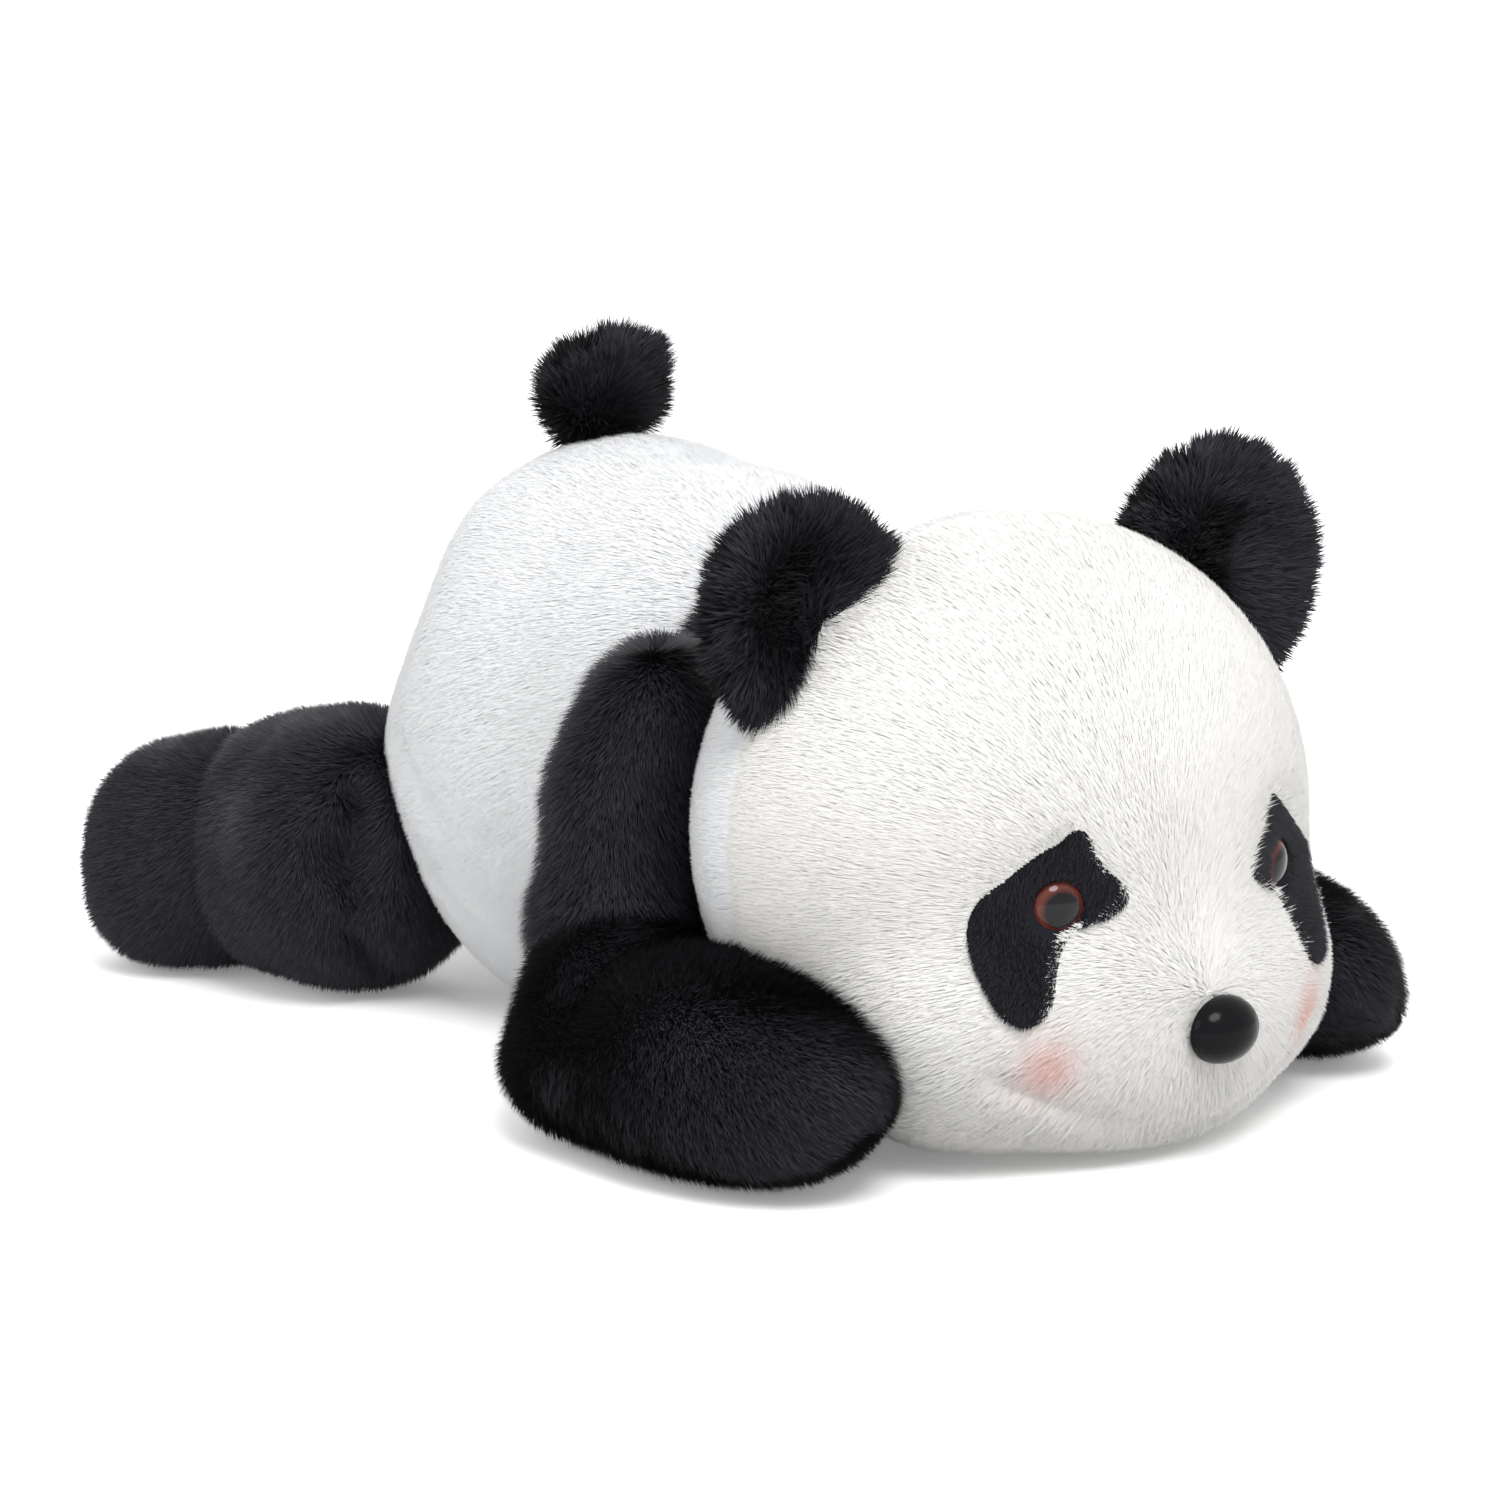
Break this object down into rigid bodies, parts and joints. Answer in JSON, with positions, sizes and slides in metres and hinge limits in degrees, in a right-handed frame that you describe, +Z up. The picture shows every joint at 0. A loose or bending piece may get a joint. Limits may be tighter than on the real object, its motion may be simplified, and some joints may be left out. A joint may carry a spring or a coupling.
{
  "type": "plush panda",
  "caption": "Soft plush panda lying on its belly, with a big round head, padded arms and splayed hind legs, jointed at neck, ears, arms, hips and tail.",
  "frame": {"origin": "on the floor under the middle of the toy's length and width", "axes": "+Z up; the head points to -Y and the tail to +Y; the toy's right side is -X"},
  "size_m": [0.332, 0.5364, 0.2669],
  "materials": {
    "plush_cream": "short pile plush",
    "plush_cool_white": "short pile plush",
    "plush_black": "short pile plush",
    "fibre_filling": "loose fibre",
    "eye_clear": "clear gloss",
    "eye_brown": "gloss",
    "nose_plastic": "gloss",
    "washer_plastic": "moulded"
  },
  "bodies": {
    "body": {"body_cover_white": "plush_cool_white", "body_cover_band": "plush_black", "body_stuffing": "fibre_filling"},
    "neck": {"neck_wad": "fibre_filling"},
    "head": {"head_cover_face": "plush_cream", "head_cover_back": "plush_cool_white", "head_stuffing": "fibre_filling", "eye_patch_right": "plush_black", "eye_patch_left": "plush_black", "eye_back_right": "eye_brown", "eye_back_left": "eye_brown", "eye_dome_right": "eye_clear", "eye_dome_left": "eye_clear", "eye_washer_right": "washer_plastic", "eye_washer_left": "washer_plastic", "nose": "nose_plastic", "nose_washer": "washer_plastic"},
    "tail": {"tail_cover": "plush_black", "tail_stuffing": "fibre_filling"},
    "ear_right": {"ear_front_right": "plush_black", "ear_back_right": "plush_black", "ear_stuffing_right": "fibre_filling"},
    "upper_arm_right": {"upper_arm_cover_right": "plush_black", "upper_arm_stuffing_right": "fibre_filling"},
    "forearm_right": {"forearm_cover_right": "plush_black", "forearm_stuffing_right": "fibre_filling"},
    "thigh_right": {"thigh_cover_right": "plush_black", "thigh_stuffing_right": "fibre_filling"},
    "foot_right": {"foot_cover_right": "plush_black", "foot_stuffing_right": "fibre_filling"},
    "ear_left": {"ear_front_left": "plush_black", "ear_back_left": "plush_black", "ear_stuffing_left": "fibre_filling"},
    "upper_arm_left": {"upper_arm_cover_left": "plush_black", "upper_arm_stuffing_left": "fibre_filling"},
    "forearm_left": {"forearm_cover_left": "plush_black", "forearm_stuffing_left": "fibre_filling"},
    "thigh_left": {"thigh_cover_left": "plush_black", "thigh_stuffing_left": "fibre_filling"},
    "foot_left": {"foot_cover_left": "plush_black", "foot_stuffing_left": "fibre_filling"}
  },
  "joints": [
    {"name": "neck_turn", "type": "hinge", "parent": "body", "child": "neck", "pos_m": [0, -0.026, 0.097], "axis": [0, 0, 1], "range_deg": [-5, 5], "stiffness_Nm_per_rad": 0.3},
    {"name": "neck_nod", "type": "hinge", "parent": "neck", "child": "head", "pos_m": [0, -0.026, 0.097], "axis": [-1, 0, 0], "range_deg": [0, 10], "stiffness_Nm_per_rad": 0.3},
    {"name": "tail_wag", "type": "hinge", "parent": "body", "child": "tail", "pos_m": [0, 0.091, 0.2199], "axis": [0, 1, 0], "range_deg": [-15, 15], "stiffness_Nm_per_rad": 0.02},
    {"name": "ear_right_bend", "type": "hinge", "parent": "head", "child": "ear_right", "pos_m": [-0.0814, -0.138, 0.18243], "axis": [0.7822, 0, 0.623], "range_deg": [-12, 12], "stiffness_Nm_per_rad": 0.02},
    {"name": "arm_right_lift", "type": "hinge", "parent": "body", "child": "upper_arm_right", "pos_m": [-0.085, -0.048, 0.165], "axis": [0, 1, 0], "range_deg": [0, 12], "stiffness_Nm_per_rad": 0.1},
    {"name": "elbow_right_swing", "type": "hinge", "parent": "upper_arm_right", "child": "forearm_right", "pos_m": [-0.106, -0.048, 0.064], "axis": [0, 0, -1], "range_deg": [0, 15], "stiffness_Nm_per_rad": 0.1},
    {"name": "hip_right_lift", "type": "hinge", "parent": "body", "child": "thigh_right", "pos_m": [-0.071, 0.148, 0.0545], "axis": [1, 0, 0], "range_deg": [0, 10], "stiffness_Nm_per_rad": 0.1},
    {"name": "leg_right_swing", "type": "hinge", "parent": "thigh_right", "child": "foot_right", "pos_m": [-0.071, 0.148, 0.0545], "axis": [0, 0, 1], "range_deg": [-8, 10], "stiffness_Nm_per_rad": 0.1},
    {"name": "ear_left_bend", "type": "hinge", "parent": "head", "child": "ear_left", "pos_m": [0.0814, -0.138, 0.18243], "axis": [0.7822, 0, -0.623], "range_deg": [-12, 12], "stiffness_Nm_per_rad": 0.02},
    {"name": "arm_left_lift", "type": "hinge", "parent": "body", "child": "upper_arm_left", "pos_m": [0.085, -0.048, 0.165], "axis": [0, -1, 0], "range_deg": [0, 12], "stiffness_Nm_per_rad": 0.1},
    {"name": "elbow_left_swing", "type": "hinge", "parent": "upper_arm_left", "child": "forearm_left", "pos_m": [0.106, -0.048, 0.064], "axis": [0, 0, 1], "range_deg": [0, 15], "stiffness_Nm_per_rad": 0.1},
    {"name": "hip_left_lift", "type": "hinge", "parent": "body", "child": "thigh_left", "pos_m": [0.071, 0.148, 0.0545], "axis": [1, 0, 0], "range_deg": [0, 10], "stiffness_Nm_per_rad": 0.1},
    {"name": "leg_left_swing", "type": "hinge", "parent": "thigh_left", "child": "foot_left", "pos_m": [0.071, 0.148, 0.0545], "axis": [0, 0, -1], "range_deg": [-8, 10], "stiffness_Nm_per_rad": 0.1}
  ]
}
